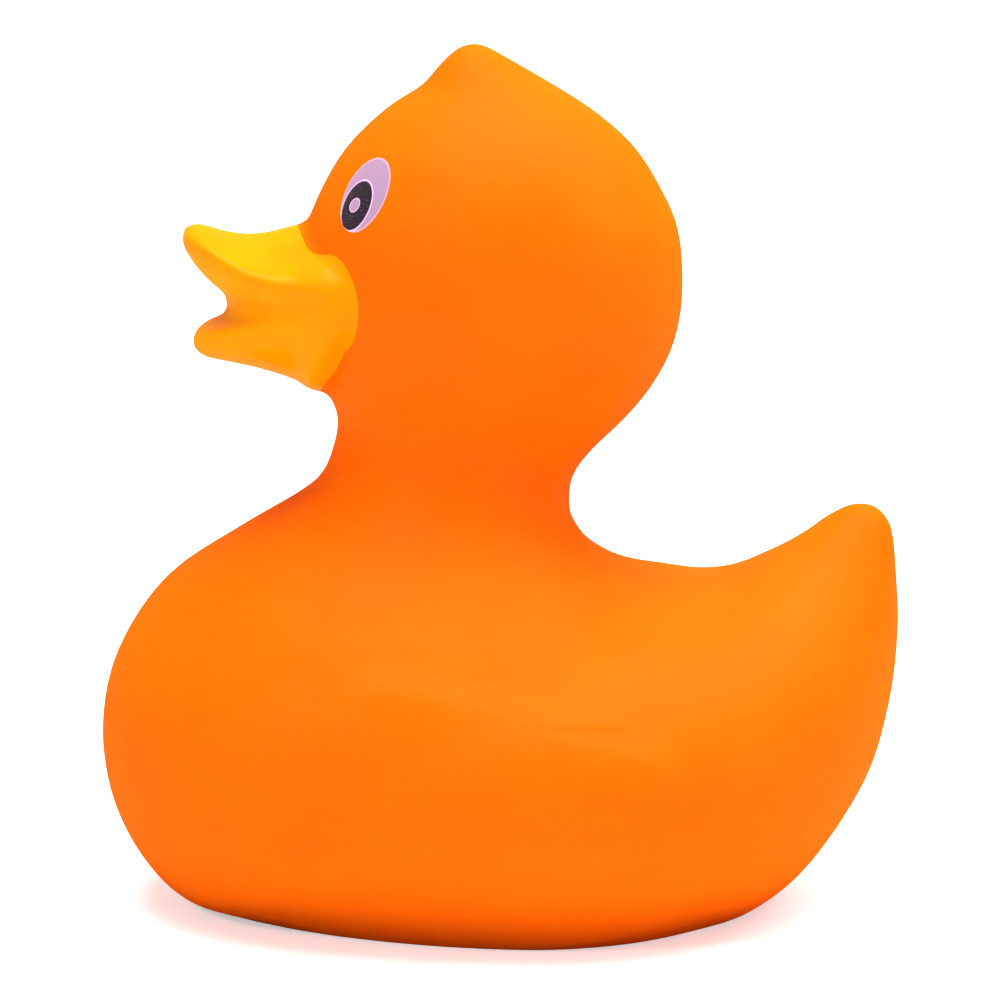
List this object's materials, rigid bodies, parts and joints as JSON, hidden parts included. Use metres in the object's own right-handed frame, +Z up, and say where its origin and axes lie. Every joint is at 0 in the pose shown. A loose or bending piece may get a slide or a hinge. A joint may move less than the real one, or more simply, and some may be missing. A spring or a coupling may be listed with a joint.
{
  "type": "rubber duck",
  "caption": "Hollow soft vinyl bath duck with a round crested head, an open bill, low wings, an upturned tail and a flat base that holds a pressed-in squeaker.",
  "frame": {"origin": "centre of the underside of the bounding box, on the surface that the duck stands on", "axes": "+Z up through the crest, -Y the way the bill points, +X the duck's left side; the duck is the same on both sides of X = 0"},
  "size_m": [0.0682, 0.0778, 0.0838],
  "materials": {
    "orange_vinyl": "satin moulded soft vinyl, plain orange right through",
    "bill_paint": "sprayed glossy yellow paint on the bill and the corners of the mouth",
    "eye_white_print": "pad printed pale lilac oval",
    "eye_dark_print": "pad printed dark pupil",
    "squeaker_plastic": "milky moulded polyethylene",
    "reed_plastic": "white moulded plastic"
  },
  "bodies": {
    "root": {"duck_shell": "orange_vinyl", "squeaker_body": "squeaker_plastic", "squeaker_reed": "reed_plastic"}
  },
  "joints": []
}
